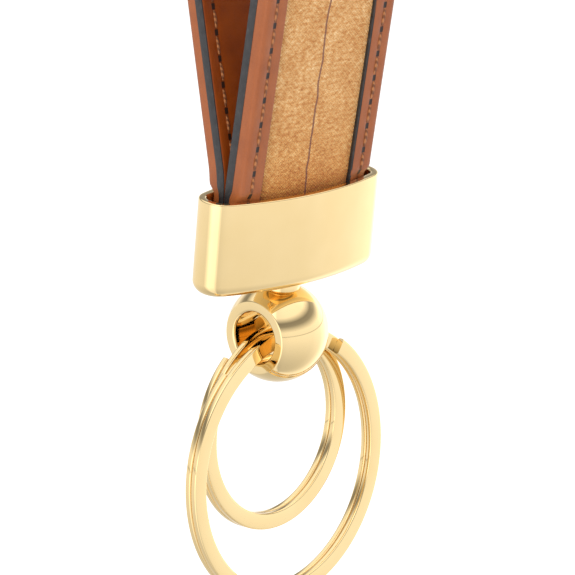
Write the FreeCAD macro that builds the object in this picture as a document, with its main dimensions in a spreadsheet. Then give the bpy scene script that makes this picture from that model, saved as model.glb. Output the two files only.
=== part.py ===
"""Wristlet keychain: a stitched strap loop in a gold collar, with a swivel ball and two split rings.

Millimetres, +Z up, +X across the strap, -Y the front. The origin is the inside of the loop's top,
where the wrist or a hook carries it.
"""
import FreeCAD, Part
import math
import os
import Sketcher

Vector = FreeCAD.Vector
Rotation = FreeCAD.Rotation
Placement = FreeCAD.Placement

# alias: (value, what it is)
DIMS = {
    "strap_width": (20.0, "width of the strap"),
    "lining_thick": (1.1, "leather lining, inside of the loop"),
    "core_thick": (0.5, "stiffener between the lining and the canvas"),
    "canvas_thick": (0.5, "canvas face"),
    "border_thick": (0.6, "leather border over the canvas edges"),
    "border_width": (3.1, "border strip seen from the front"),
    "canvas_width": (17.0, "canvas cut width, its edges under the borders"),
    "seam_inset": (1.6, "seam line from the strap's edge"),
    "thread_width": (0.5, "sewing thread seen from the front"),
    "thread_thick": (0.2, "how far the thread stands proud"),
    "thread_start": (0.4, "top thread's start above the collar's rim"),
    "bobbin_start": (6.0, "bobbin thread's start above the collar's rim"),
    "loop_radius": (21.0, "inside radius of the loop's top"),
    "front_lean": (11.9, "front half's lean from the vertical, degrees"),
    "back_lean": (9.4, "back half's lean from the vertical, degrees"),
    "front_bend": (30.0, "inside bend radius of the front half at the rim"),
    "back_bend": (14.0, "inside bend radius of the back half at the rim"),
    "strap_gap": (0.1, "gap between the two strap ends"),
    "strap_depth": (8.0, "how far the strap ends go into the collar"),
    "collar_pitch": (7.0, "collar's lean to the front, degrees"),
    "swivel_turn": (5.0, "swivel's turn from the strap at rest, degrees"),
    "collar_length": (25.7, "collar along the strap's width"),
    "collar_depth": (8.4, "collar front to back"),
    "collar_height": (11.1, "collar's height"),
    "collar_end_radius": (2.7, "plan radius of the collar's ends"),
    "collar_wall": (0.9, "collar's wall"),
    "collar_floor": (1.3, "collar's floor"),
    "collar_round": (1.5, "rounding of the collar's lower edge"),
    "rim_round": (0.2, "rounding of the collar's rim"),
    "skive_gap": (0.05, "clearance from the strap ends to the collar's wall"),
    "screw_diameter": (2.2, "grub screws in the collar's back wall"),
    "screw_spacing": (12.0, "distance between the two grub screws"),
    "screw_drop": (5.0, "grub screws below the rim"),
    "slot_width": (0.4, "screwdriver slot"),
    "slot_depth": (0.4, "screwdriver slot's depth"),
    "washer_thick": (0.3, "washer on the collar's floor"),
    "rivet_head": (5.0, "rivet head and washer diameter"),
    "rivet_head_thick": (1.0, "rivet head's thickness"),
    "rivet_shank": (2.0, "rivet shank diameter"),
    "swivel_play": (0.05, "running clearance of the swivel"),
    "neck_diameter": (4.2, "neck spacer"),
    "neck_gap": (0.1, "gap between the collar and the spacer"),
    "ball_radius": (5.8, "ball"),
    "ball_width": (8.0, "ball across its two flats"),
    "ball_drop": (6.5, "ball's centre below the collar's bottom"),
    "bore_radius": (3.0, "cross bore for the rings"),
    "bore_round": (0.35, "rounding of the bore's edges"),
    "flat_round": (0.3, "rounding of the edges of the ball's flats"),
    "shank_hole": (2.0, "blind hole's depth in the ball for the shank"),
    "big_ring": (32.0, "large split ring's outer diameter"),
    "small_ring": (24.0, "small split ring's outer diameter"),
    "ring_radial": (1.9, "flat wire, across the ring's plane"),
    "ring_axial": (0.8, "flat wire, through one coil"),
    "coil_gap": (0.06, "gap between the two coils"),
    "ring_bevel": (0.2, "bevel of the flat wire's edges"),
    "ring_offset": (1.0, "each ring's middle plane from the bore's axis"),
    "big_hang": (1.5, "large ring's inner edge below the bore's axis"),
    "small_hang": (1.3, "small ring's inner edge below the bore's axis"),
    "front_end": (36.0, "front coil's cut end, degrees clockwise from the top"),
    "back_end": (37.0, "back coil's cut end, degrees anticlockwise from the top"),
}
JOG_SECTIONS = 9
END_RADIUS = "dims.collar_end_radius"
END_X = f"(dims.collar_length / 2 - {END_RADIUS})"
SIDE_RADIUS = (
    f"({END_X}^2 + (dims.collar_depth / 2)^2 - {END_RADIUS}^2)"
    f" / (dims.collar_depth - 2 * {END_RADIUS})"
)
H_AXIS = -1
V_AXIS = -2


def make_sheet(doc):
    """Put the driving dimensions in a spreadsheet, one alias each."""
    sheet = doc.addObject("Spreadsheet::Sheet", "dims")
    for row, (alias, (value, note)) in enumerate(DIMS.items(), start=1):
        sheet.set(f"A{row}", note)
        sheet.set(f"B{row}", str(value))
        sheet.setAlias(f"B{row}", alias)
    doc.recompute()
    return sheet


doc = FreeCAD.newDocument("wristlet")
dims = make_sheet(doc)


# ---------------------------------------------------------------- small helpers

def body_named(name):
    body = doc.addObject("PartDesign::Body", name)
    body.Label = name
    return body


def origin_plane(body, role):
    return next(f for f in body.Origin.OriginFeatures if f.Role == role)


def sketch_on(body, name, role="XY_Plane", offset=None):
    """A sketch on one of the body's own origin planes, moved by an attachment offset."""
    sketch = body.newObject("Sketcher::SketchObject", f"{body.Name}_{name}")
    sketch.AttachmentSupport = (origin_plane(body, role), [""])
    sketch.MapMode = "FlatFace"
    if offset is not None:
        sketch.AttachmentOffset = offset
    return sketch


def add_circle(sketch, diameter, x=0.0, y=0.0):
    """A circle whose diameter follows an expression; it stays at (x, y)."""
    circle = sketch.addGeometry(Part.Circle(Vector(x, y, 0), Vector(0, 0, 1), 1.0))
    index = sketch.addConstraint(Sketcher.Constraint("Diameter", circle, 2.0))
    sketch.setExpression(f"Constraints[{index}]", diameter)
    place_point(sketch, circle, 3, x, y)
    return circle


def place_point(sketch, geometry, point, x, y):
    """Hold one point of the sketch's geometry at (x, y)."""
    for kind, value, axis in (("DistanceX", x, V_AXIS), ("DistanceY", y, H_AXIS)):
        if abs(value) < 1e-9:
            sketch.addConstraint(Sketcher.Constraint("PointOnObject", geometry, point, axis))
        else:
            sketch.addConstraint(Sketcher.Constraint(kind, -1, 1, geometry, point, value))


def add_polygon(sketch, points):
    """A closed outline of straight lines, joined end to end."""
    first = sketch.GeometryCount
    corners = [Vector(x, y, 0) for x, y in points]
    for start, end in zip(corners, corners[1:] + corners[:1]):
        sketch.addGeometry(Part.LineSegment(start, end))
    count = len(corners)
    for i in range(count):
        sketch.addConstraint(
            Sketcher.Constraint("Coincident", first + i, 2, first + (i + 1) % count, 1)
        )


def add_oval(sketch, inset):
    """The collar's plan: two end arcs and two bowed sides, each tangent to the next."""
    end_x, side_y, side_radius = oval_centres()
    end_radius = dims.collar_end_radius
    touch = math.atan2(side_y, end_x)
    arcs = [
        (end_x, 0.0, end_radius, -touch, touch),
        (0.0, -side_y, side_radius, touch, math.pi - touch),
        (-end_x, 0.0, end_radius, math.pi - touch, math.pi + touch),
        (0.0, side_y, side_radius, math.pi + touch, 2 * math.pi - touch),
    ]
    first = sketch.GeometryCount
    for x, y, radius, start, end in arcs:
        circle = Part.Circle(Vector(x, y, 0), Vector(0, 0, 1), radius - inset)
        sketch.addGeometry(Part.ArcOfCircle(circle, start, end))
    right, far_side, left, near_side = range(first, first + 4)
    for a, b in ((right, far_side), (far_side, left), (left, near_side), (near_side, right)):
        sketch.addConstraint(Sketcher.Constraint("Tangent", a, 2, b, 1))
    sketch.addConstraint(Sketcher.Constraint("PointOnObject", right, 3, H_AXIS))
    sketch.addConstraint(Sketcher.Constraint("Symmetric", right, 3, left, 3, -1, 1))
    sketch.addConstraint(Sketcher.Constraint("Equal", right, left))
    sketch.addConstraint(Sketcher.Constraint("Equal", far_side, near_side))
    sized = (
        (Sketcher.Constraint("DistanceX", -1, 1, right, 3, end_x), END_X),
        (Sketcher.Constraint("Radius", right, end_radius - inset), f"{END_RADIUS} - {inset}"),
        (Sketcher.Constraint("Radius", far_side, side_radius - inset), f"{SIDE_RADIUS} - {inset}"),
    )
    for constraint, expression in sized:
        index = sketch.addConstraint(constraint)
        sketch.setExpression(f"Constraints[{index}]", expression)


def oval_centres():
    """Where the end arcs and the bowed sides of the collar's plan have their centres."""
    half_length = dims.collar_length / 2
    half_depth = dims.collar_depth / 2
    end_radius = dims.collar_end_radius
    end_x = half_length - end_radius
    side_radius = (end_x**2 + half_depth**2 - end_radius**2) / (2 * (half_depth - end_radius))
    return end_x, side_radius - half_depth, side_radius


def pad(body, sketch, length, name, symmetric=False, reverse=False):
    feature = body.newObject("PartDesign::Pad", f"{body.Name}_{name}")
    feature.Profile = sketch
    feature.setExpression("Length", length)
    feature.Midplane = symmetric
    feature.Reversed = reverse
    doc.recompute()
    return feature


def pocket(body, sketch, length, name, reverse=False, symmetric=False):
    """Cut the sketch into the body, and stop if nothing was cut."""
    before = body.Shape.Volume
    feature = body.newObject("PartDesign::Pocket", f"{body.Name}_{name}")
    feature.Profile = sketch
    feature.setExpression("Length", length)
    feature.Reversed = reverse
    feature.Midplane = symmetric
    doc.recompute()
    if body.Shape.Volume >= before:
        raise RuntimeError(f"{feature.Name} cuts nothing")
    return feature


def fillet(body, base, edges, radius, name):
    feature = body.newObject("PartDesign::Fillet", f"{body.Name}_{name}")
    feature.Base = (base, edges)
    feature.setExpression("Radius", radius)
    doc.recompute()
    return feature


def edges_where(shape, test):
    return [f"Edge{i}" for i, edge in enumerate(shape.Edges, start=1) if test(edge)]


def edges_at_height(shape, height):
    """The edges that lie wholly at one height."""
    return edges_where(
        shape,
        lambda e: abs(e.BoundBox.ZMin - height) < 1e-4 and abs(e.BoundBox.ZMax - height) < 1e-4,
    )


# ---------------------------------------------------------------- the strap's side view

def direction(lean):
    """Up along a line that leans by so many degrees to the back (+Y)."""
    angle = math.radians(lean)
    return Vector(0, math.sin(angle), math.cos(angle))


def across(lean):
    """Square to direction(lean), to the back."""
    angle = math.radians(lean)
    return Vector(0, math.cos(angle), -math.sin(angle))


class StrapLine:
    """The inside face of the loop in the YZ plane: straight runs joined by tangent arcs."""

    def __init__(self):
        front, back, pitch = -dims.front_lean, dims.back_lean, -dims.collar_pitch
        half_gap = dims.strap_gap / 2
        radius = dims.loop_radius
        front_rim = across(pitch) * -half_gap
        back_rim = across(pitch) * half_gap
        front_centre = front_rim + across(pitch) * -dims.front_bend
        back_centre = back_rim + across(pitch) * dims.back_bend
        front_foot = front_centre + across(front) * dims.front_bend
        back_foot = back_centre + across(back) * -dims.back_bend
        top_centre = self.meet(
            front_foot + across(front) * radius, direction(front),
            back_foot - across(back) * radius, direction(back),
        )
        self.leans = (front, back, pitch)
        self.rims = (front_rim, back_rim)
        self.centres = (front_centre, top_centre, back_centre)
        self.shift = Vector(0, 0, -radius) - top_centre

    @staticmethod
    def meet(point_a, along_a, point_b, along_b):
        """Where two lines of the YZ plane cross."""
        gap = point_b - point_a
        span = along_a.y * along_b.z - along_a.z * along_b.y
        step = (gap.y * along_b.z - gap.z * along_b.y) / span
        return point_a + along_a * step

    @property
    def rim_centre(self):
        return self.shift

    def points(self, offset, start):
        """The ends of the runs and the middle of each arc, moved outwards by an offset.

        The line starts so far above the rim, or below it where start is negative.
        """
        front, back, pitch = self.leans
        front_centre, top_centre, back_centre = self.centres
        front_radius = dims.front_bend - offset
        back_radius = dims.back_bend - offset
        top_radius = dims.loop_radius + offset
        middle_front = (front + pitch) / 2
        middle_back = (back + pitch) / 2
        chain = []
        if start <= 0:
            chain.append(self.rims[0] - across(pitch) * offset + direction(pitch) * start)
            chain.append(front_centre + across(pitch) * front_radius)
            chain.append(front_centre + across(middle_front) * front_radius)
        foot = front_centre + across(front) * front_radius
        chain.append(foot + direction(front) * max(start, 0))
        chain.append(top_centre - across(front) * top_radius)
        chain.append(top_centre + Vector(0, 0, top_radius))
        chain.append(top_centre + across(back) * top_radius)
        foot = back_centre - across(back) * back_radius
        chain.append(foot + direction(back) * max(start, 0))
        if start <= 0:
            chain.append(back_centre - across(middle_back) * back_radius)
            chain.append(back_centre - across(pitch) * back_radius)
            chain.append(self.rims[1] + across(pitch) * offset + direction(pitch) * start)
        return [point + self.shift for point in chain]

    def pieces(self, offset, start):
        """The same line as lines and three-point arcs, from the front end to the back end."""
        p = self.points(offset, start)
        if start > 0:
            return [(p[0], p[1]), (p[1], p[2], p[3]), (p[3], p[4])]
        return [
            (p[0], p[1]), (p[1], p[2], p[3]), (p[3], p[4]), (p[4], p[5], p[6]),
            (p[6], p[7]), (p[7], p[8], p[9]), (p[9], p[10]),
        ]


line = StrapLine()


def add_strap_profile(sketch, inner, outer, start):
    """The side view of one layer, between two offsets from the inside face of the loop."""
    def flat(point):
        return Vector(point.y, point.z, 0)

    inside = [tuple(flat(p) for p in piece) for piece in line.pieces(inner, start)]
    outside = [tuple(flat(p) for p in piece)[::-1] for piece in line.pieces(outer, start)][::-1]
    cap_back = (inside[-1][-1], outside[0][0])
    cap_front = (outside[-1][-1], inside[0][0])
    ring = inside + [cap_back] + outside + [cap_front]
    ends = []
    for piece in ring:
        if len(piece) == 2:
            index = sketch.addGeometry(Part.LineSegment(*piece))
            ends.append((index, 1, 2))
            continue
        start, middle, end = piece
        anticlockwise = (middle - start).cross(end - middle).z > 0
        index = sketch.addGeometry(Part.Arc(*(piece if anticlockwise else piece[::-1])))
        ends.append((index, 1, 2) if anticlockwise else (index, 2, 1))
    for (a, _, a_end), (b, b_start, _) in zip(ends, ends[1:] + ends[:1]):
        sketch.addConstraint(Sketcher.Constraint("Coincident", a, a_end, b, b_start))


def collar_tilt():
    """The collar leans about the bore's axis, so that the rings hang straight down from it."""
    turn = math.radians(dims.swivel_turn)
    return Rotation(Vector(math.cos(turn), math.sin(turn), 0), dims.collar_pitch)


def collar_placement():
    return Placement(line.rim_centre, collar_tilt())


def skive(body):
    """Thin the ends of a layer to the collar's inside, below the rim."""
    sketch = sketch_on(body, "skive_plan", offset=collar_placement())
    reach = dims.collar_length
    add_polygon(sketch, [(-reach, -reach), (reach, -reach), (reach, reach), (-reach, reach)])
    add_oval(sketch, dims.collar_wall + dims.skive_gap)
    pocket(body, sketch, "dims.collar_height", "skive")


def strap_layer(name, inner, outer, width, centre=0.0, start=None):
    """One layer of the strap as a pad across the strap's width."""
    body = body_named(name)
    if start is None:
        start = -dims.strap_depth
    offset = Placement(Vector(0, 0, centre), Rotation())
    sketch = sketch_on(body, "side_view", "YZ_Plane", offset)
    add_strap_profile(sketch, inner, outer, start)
    pad(body, sketch, width, "pad", symmetric=True)
    edge = abs(centre) + dims.getPropertyByName(width.removeprefix("dims.")) / 2
    room = side_depth(edge, dims.collar_wall + dims.skive_gap)
    if start < 0 and outer + dims.strap_gap / 2 > room:
        skive(body)
    return body


def build_strap():
    lining_top = dims.lining_thick
    core_top = lining_top + dims.core_thick
    canvas_top = core_top + dims.canvas_thick
    border_top = canvas_top + dims.border_thick
    strap_layer("leather_lining", 0.0, lining_top, "dims.strap_width")
    strap_layer("core_board", lining_top, core_top, "dims.strap_width")
    strap_layer("canvas_panel", core_top, canvas_top, "dims.canvas_width")
    for side, sign in (("left", -1), ("right", 1)):
        build_border(side, sign, core_top, canvas_top, border_top)
        seam = sign * (dims.strap_width / 2 - dims.seam_inset)
        thread_top = border_top + dims.thread_thick
        strap_layer(f"top_thread_{side}", border_top, thread_top, "dims.thread_width",
                    seam, dims.thread_start)
        strap_layer(f"bobbin_thread_{side}", -dims.thread_thick, 0.0, "dims.thread_width",
                    seam, dims.bobbin_start)


def build_border(side, sign, core_top, canvas_top, border_top):
    """A border strip: over the canvas edge, and down beside it to the core."""
    body = strap_layer(
        f"border_{side}", canvas_top, border_top, "dims.border_width",
        sign * (dims.strap_width - dims.border_width) / 2,
    )
    lip = (dims.strap_width - dims.canvas_width) / 2
    offset = Placement(Vector(0, 0, sign * (dims.strap_width - lip) / 2), Rotation())
    sketch = sketch_on(body, "lip_view", "YZ_Plane", offset)
    add_strap_profile(sketch, core_top, canvas_top, dims.thread_start)
    pad(body, sketch, "(dims.strap_width - dims.canvas_width) / 2", "lip", symmetric=True)


# ---------------------------------------------------------------- collar and its screws

def build_collar():
    body = body_named("collar_shell")
    plan = sketch_on(body, "plan")
    add_oval(plan, 0.0)
    block = pad(body, plan, "dims.collar_height", "block", reverse=True)
    lower = edges_at_height(block.Shape, -dims.collar_height)
    fillet(body, block, lower, "dims.collar_round", "lower_round")
    cavity = sketch_on(body, "cavity_plan")
    add_oval(cavity, dims.collar_wall)
    pocket(body, cavity, "dims.collar_height - dims.collar_floor", "cavity")
    hole = sketch_on(body, "hole_plan")
    add_circle(hole, "dims.rivet_shank + 2 * dims.swivel_play")
    pocket(body, hole, "dims.collar_height * 2", "rivet_hole")
    screws = sketch_on(body, "screw_plan", "XZ_Plane")
    for sign in (-1, 1):
        add_circle(screws, "dims.screw_diameter", sign * dims.screw_spacing / 2, -dims.screw_drop)
    base = pocket(body, screws, "dims.collar_depth", "screw_holes", reverse=False)
    fillet(body, base, edges_at_height(base.Shape, 0.0), "dims.rim_round", "rim_round")
    body.Placement = collar_placement()


def side_depth(x, inset):
    """Half the collar's depth at x, to its outside face moved in by an inset."""
    _, side_y, side_radius = oval_centres()
    return math.sqrt((side_radius - inset)**2 - x**2) - side_y


def build_screws():
    """Two slotted grub screws that press the strap ends, flush in the back wall."""
    x = dims.screw_spacing / 2
    inside = side_depth(x, dims.collar_wall)
    outside = side_depth(x + dims.screw_diameter / 2, 0.0)
    tools = []
    for sign in (-1, 1):
        shank = doc.addObject("Part::Cylinder", f"screw_shank_{len(tools)}")
        shank.setExpression("Radius", "dims.screw_diameter / 2")
        shank.Height = outside - inside
        place = Vector(sign * x, inside, -dims.screw_drop)
        shank.Placement = Placement(place, Rotation(Vector(1, 0, 0), -90))
        slot = doc.addObject("Part::Box", f"screw_slot_{len(tools)}")
        slot.setExpression("Length", "dims.screw_diameter + 1")
        slot.setExpression("Width", "dims.slot_depth + 1")
        slot.setExpression("Height", "dims.slot_width")
        corner = Vector(-dims.screw_diameter / 2 - 0.5, 0, -dims.slot_width / 2)
        tilt = Rotation(Vector(0, 1, 0), 25 * sign)
        start = Vector(sign * x, outside - dims.slot_depth, -dims.screw_drop)
        slot.Placement = Placement(start, tilt).multiply(Placement(corner, Rotation()))
        cut = doc.addObject("Part::Cut", f"screw_{len(tools)}")
        cut.Base = shank
        cut.Tool = slot
        tools.append(cut)
    group = doc.addObject("Part::Compound", "grub_screws")
    group.Links = tools
    group.Label = "grub_screws"
    group.Placement = collar_placement()


# ---------------------------------------------------------------- swivel

def build_round(name, outer, hole, bottom, height):
    """A washer or a spacer: a disc with a hole, from a given height up."""
    body = body_named(name)
    sketch = sketch_on(body, "plan", offset=Placement(Vector(0, 0, bottom), Rotation()))
    add_circle(sketch, outer)
    add_circle(sketch, hole)
    pad(body, sketch, height, "disc")
    return body


def ball_top():
    """Height of the ball's top flat above its centre, where the neck sits."""
    return math.sqrt(dims.ball_radius**2 - (dims.neck_diameter / 2)**2)


def ball_placement():
    centre = collar_placement().multVec(Vector(0, 0, -dims.collar_height - dims.ball_drop))
    turn = Rotation(Vector(0, 0, 1), dims.swivel_turn)
    return Placement(centre, collar_tilt().multiply(turn))


def build_swivel():
    """Washer on the collar's floor, the rivet through it, and the neck spacer on the ball."""
    floor = -dims.collar_height + dims.collar_floor
    washer = build_round("rivet_washer", "dims.rivet_head", "dims.rivet_shank + 2*dims.swivel_play",
                         floor, "dims.washer_thick")
    washer.Placement = collar_placement()
    neck_length = (
        "dims.ball_drop - dims.neck_gap"
        " - sqrt(dims.ball_radius^2 - (dims.neck_diameter / 2)^2)"
    )
    spacer = build_round("neck_spacer", "dims.neck_diameter", "dims.rivet_shank", ball_top(),
                         neck_length)
    spacer.Placement = ball_placement()
    build_rivet(dims.ball_drop + dims.collar_floor + dims.washer_thick + dims.swivel_play)


def build_rivet(head_bottom):
    """A round-head rivet, from the blind hole in the ball up into the collar."""
    body = body_named("swivel_rivet")
    shank_bottom = ball_top() - dims.shank_hole
    shank = dims.rivet_shank / 2
    head = dims.rivet_head / 2
    head_top = head_bottom + dims.rivet_head_thick
    crown = dims.rivet_head_thick / 2
    profile = [
        (0.0, shank_bottom), (shank, shank_bottom), (shank, head_bottom), (head, head_bottom),
        (head, head_top - crown), (head - crown, head_top), (0.0, head_top),
    ]
    sketch = sketch_on(body, "half_profile", "XZ_Plane")
    add_polygon(sketch, profile)
    turned = body.newObject("PartDesign::Revolution", "swivel_rivet_turned")
    turned.Profile = sketch
    turned.ReferenceAxis = (sketch, ["V_Axis"])
    turned.Angle = 360.0
    doc.recompute()
    body.Placement = ball_placement()


def build_ball():
    """A ball with two flats and a cross bore, turned about the bore's axis."""
    body = body_named("ball_connector")
    half = dims.ball_width / 2
    flat_radius = math.sqrt(dims.ball_radius**2 - half**2)
    bore = dims.bore_radius
    sketch = sketch_on(body, "half_profile", "XZ_Plane")
    corners = [Vector(half, bore, 0), Vector(half, flat_radius, 0),
               Vector(-half, flat_radius, 0), Vector(-half, bore, 0)]
    crown = Vector(0, dims.ball_radius, 0)
    sketch.addGeometry(Part.LineSegment(corners[0], corners[1]))
    sketch.addGeometry(Part.Arc(corners[1], crown, corners[2]))
    sketch.addGeometry(Part.LineSegment(corners[2], corners[3]))
    sketch.addGeometry(Part.LineSegment(corners[3], corners[0]))
    radius = sketch.addConstraint(Sketcher.Constraint("Radius", 1, dims.ball_radius))
    sketch.setExpression(f"Constraints[{radius}]", "dims.ball_radius")
    sketch.addConstraint(Sketcher.Constraint("Coincident", 1, 3, -1, 1))
    turned = body.newObject("PartDesign::Revolution", "ball_turned")
    turned.Profile = sketch
    turned.ReferenceAxis = (sketch, ["H_Axis"])
    turned.Angle = 360.0
    doc.recompute()
    round_ball_edges(body, turned, half, flat_radius)
    cap = sketch_on(body, "top_flat", offset=Placement(Vector(0, 0, ball_top()), Rotation()))
    add_circle(cap, "dims.neck_diameter * 1.5")
    pocket(body, cap, "dims.ball_radius", "neck_seat", reverse=True)
    hole = sketch_on(body, "shank_hole", offset=Placement(Vector(0, 0, ball_top()), Rotation()))
    add_circle(hole, "dims.rivet_shank")
    pocket(body, hole, "dims.shank_hole", "shank_seat")
    body.Placement = ball_placement()


def round_ball_edges(body, base, half, flat_radius):
    """Round the bore's two edges, then the edges of the two flats."""
    def on_flat(edge, radius):
        box = edge.BoundBox
        flat = abs(abs(box.XMin) - half) < 1e-4 and box.XLength < 1e-4
        return flat and abs(box.ZMax - radius) < 1e-3

    bore_edges = edges_where(base.Shape, lambda e: on_flat(e, dims.bore_radius))
    rounded = fillet(body, base, bore_edges, "dims.bore_round", "bore_round")
    flat_edges = edges_where(rounded.Shape, lambda e: on_flat(e, flat_radius))
    fillet(body, rounded, flat_edges, "dims.flat_round", "flat_round")


# ---------------------------------------------------------------- split rings

def wire_section(outer_radius, angle, middle):
    """The bevelled flat wire's outline at an angle clockwise from the top, seen from the front."""
    bevel = dims.ring_bevel
    half = dims.ring_axial / 2
    inner_radius = outer_radius - dims.ring_radial
    outline = [
        (outer_radius - bevel, -half), (outer_radius, -half + bevel),
        (outer_radius, half - bevel), (outer_radius - bevel, half),
        (inner_radius + bevel, half), (inner_radius, half - bevel),
        (inner_radius, -half + bevel), (inner_radius + bevel, -half),
    ]
    turn = math.radians(angle)
    points = [
        Vector(radius * math.sin(turn), middle + depth, radius * math.cos(turn))
        for radius, depth in outline
    ]
    return Part.makePolygon(points + points[:1])


def coil(outer_radius, middle, start, sweep):
    """One flat coil, swept clockwise from its start."""
    face = Part.Face(wire_section(outer_radius, start, middle))
    return face.revolve(Vector(0, middle, 0), Vector(0, 1, 0), sweep)


def ring_shape(outer_diameter):
    """Two flat coils joined by the crossing, where the wire steps from one to the other."""
    outer_radius = outer_diameter / 2
    step = (dims.ring_axial + dims.coil_gap) / 2
    first, last = dims.front_end, dims.back_end
    crossing = first + last
    sweep = 360 - crossing
    front = coil(outer_radius, -step, first, sweep)
    back = coil(outer_radius, step, first, sweep)
    sections = []
    for i in range(JOG_SECTIONS):
        share = i / (JOG_SECTIONS - 1)
        eased = share * share * (3 - 2 * share)
        sections.append(wire_section(outer_radius, -last + crossing * share, step * (2 * eased - 1)))
    jog = Part.makeLoft(sections, True, False)
    return front.fuse([jog, back]).removeSplitter()


def build_ring(name, outer_diameter, hang, side):
    """A split ring hung through the bore, its middle plane beside the bore's axis."""
    drop = outer_diameter / 2 - dims.ring_radial + hang
    feature = doc.addObject("Part::Feature", name)
    feature.Label = name
    feature.Shape = ring_shape(outer_diameter)
    bore = Placement(ball_placement().Base, Rotation(Vector(0, 0, 1), dims.swivel_turn))
    hung = Placement(Vector(0, side * dims.ring_offset, -drop), Rotation())
    feature.Placement = bore.multiply(hung)


# ---------------------------------------------------------------- build, check and write

def check_document():
    for item in doc.Objects:
        if "Invalid" in item.State or "Error" in item.State:
            raise RuntimeError(f"{item.Label} failed: {item.State}")


def parts_to_write():
    """Every finished piece: the bodies, the screws and the rings."""
    wanted = {"grub_screws", "large_split_ring", "small_split_ring"}
    bodies = [item for item in doc.Objects if item.TypeId == "PartDesign::Body"]
    return bodies + [item for item in doc.Objects if item.Label in wanted]


def write_parts():
    os.makedirs("parts", exist_ok=True)
    for item in parts_to_write():
        shape = item.Shape
        if shape.isNull() or not shape.isValid():
            raise RuntimeError(f"{item.Label} has no valid shape")
        shape.exportStep(f"parts/{item.Label}.step")
        print(item.Label, len(shape.Solids), round(shape.Volume, 3))


build_strap()
build_collar()
build_screws()
build_swivel()
build_ball()
build_ring("large_split_ring", dims.big_ring, dims.big_hang, -1)
build_ring("small_split_ring", dims.small_ring, dims.small_hang, 1)
doc.recompute()
check_document()
write_parts()
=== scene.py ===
import math
import random

import bmesh
import bpy
import numpy as np
from mathutils import Matrix, Vector


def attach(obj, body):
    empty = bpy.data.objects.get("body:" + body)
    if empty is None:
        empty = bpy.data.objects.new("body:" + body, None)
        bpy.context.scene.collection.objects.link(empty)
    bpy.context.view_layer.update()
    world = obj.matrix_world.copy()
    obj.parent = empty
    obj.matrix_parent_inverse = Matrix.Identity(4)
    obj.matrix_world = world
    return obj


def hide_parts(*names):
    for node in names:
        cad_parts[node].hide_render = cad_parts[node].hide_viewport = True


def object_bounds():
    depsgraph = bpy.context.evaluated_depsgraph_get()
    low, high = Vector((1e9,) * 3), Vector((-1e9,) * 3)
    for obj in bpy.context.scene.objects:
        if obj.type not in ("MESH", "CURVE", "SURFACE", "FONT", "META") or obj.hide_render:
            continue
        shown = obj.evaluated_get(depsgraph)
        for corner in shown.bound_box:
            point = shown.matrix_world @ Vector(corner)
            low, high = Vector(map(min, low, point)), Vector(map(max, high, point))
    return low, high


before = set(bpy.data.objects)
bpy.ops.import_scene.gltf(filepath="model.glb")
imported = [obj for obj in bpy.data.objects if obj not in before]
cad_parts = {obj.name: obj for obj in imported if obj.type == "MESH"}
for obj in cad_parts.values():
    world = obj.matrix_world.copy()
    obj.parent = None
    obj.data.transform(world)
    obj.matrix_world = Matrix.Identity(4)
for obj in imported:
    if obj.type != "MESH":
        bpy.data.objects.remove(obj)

CAD_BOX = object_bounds()
MM = 0.001

# ---------------------------------------------------------------- sizes, in metres

STRAP_HALF = 10.0 * MM
LINING = 1.1 * MM
CORE = 1.6 * MM
CANVAS_TOP = 2.1 * MM
CANVAS_HALF = 8.0 * MM
BORDER_TOP = 2.7 * MM
BORDER_WIDTH = 3.1 * MM
SEAM_INSET = 1.6 * MM
STITCH_PITCH = 2.9 * MM
STRAP_DEPTH = 8.0 * MM
STRAP_GAP = 0.1 * MM
LOOP_RADIUS = 21.0 * MM
FRONT_BEND = 30.0 * MM
BACK_BEND = 14.0 * MM
FRONT_LEAN = math.radians(-11.9)
BACK_LEAN = math.radians(9.4)
COLLAR_PITCH = math.radians(7.0)
SWIVEL_TURN = math.radians(5.0)

COLLAR_HALF_LENGTH = 12.85 * MM
COLLAR_HALF_DEPTH = 4.2 * MM
COLLAR_END_RADIUS = 2.7 * MM
COLLAR_HEIGHT = 11.1 * MM
COLLAR_WALL = 0.9 * MM
COLLAR_FLOOR = 1.3 * MM
COLLAR_ROUND = 1.5 * MM
RIM_ROUND = 0.22 * MM
FLOOR_FILLET = 0.3 * MM
SCREW_RADIUS = 1.18 * MM
SCREW_X = 6.0 * MM
SCREW_DROP = 5.0 * MM

BALL_RADIUS = 5.8 * MM
BALL_HALF_WIDTH = 4.0 * MM
BALL_DROP = 6.5 * MM
BORE_RADIUS = 3.0 * MM
BORE_ROUND = 0.35 * MM
FLAT_ROUND = 0.3 * MM
NECK_RADIUS = 2.1 * MM
NECK_GAP = 0.1 * MM

LARGE_RADIUS = 16.0 * MM
LARGE_HANG = 1.5 * MM
SMALL_RADIUS = 12.0 * MM
SMALL_HANG = 1.3 * MM
RING_RADIAL = 1.9 * MM
RING_AXIAL = 0.8 * MM
COIL_GAP = 0.06 * MM
RING_BEVEL = 0.22 * MM
RING_CROWN = 0.03 * MM
RING_OFFSET = 1.0 * MM
FRONT_END = math.radians(36.0)
BACK_END = math.radians(37.0)


# ---------------------------------------------------------------- mesh helpers

def mesh_object(name, verts, faces, smooth=True):
    """A mesh object from plain lists of points and faces."""
    mesh = bpy.data.meshes.new(name)
    mesh.from_pydata([tuple(v) for v in verts], [], faces)
    mesh.validate()
    mesh.polygons.foreach_set("use_smooth", [smooth] * len(mesh.polygons))
    obj = bpy.data.objects.new(name, mesh)
    bpy.context.scene.collection.objects.link(obj)
    return obj


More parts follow.
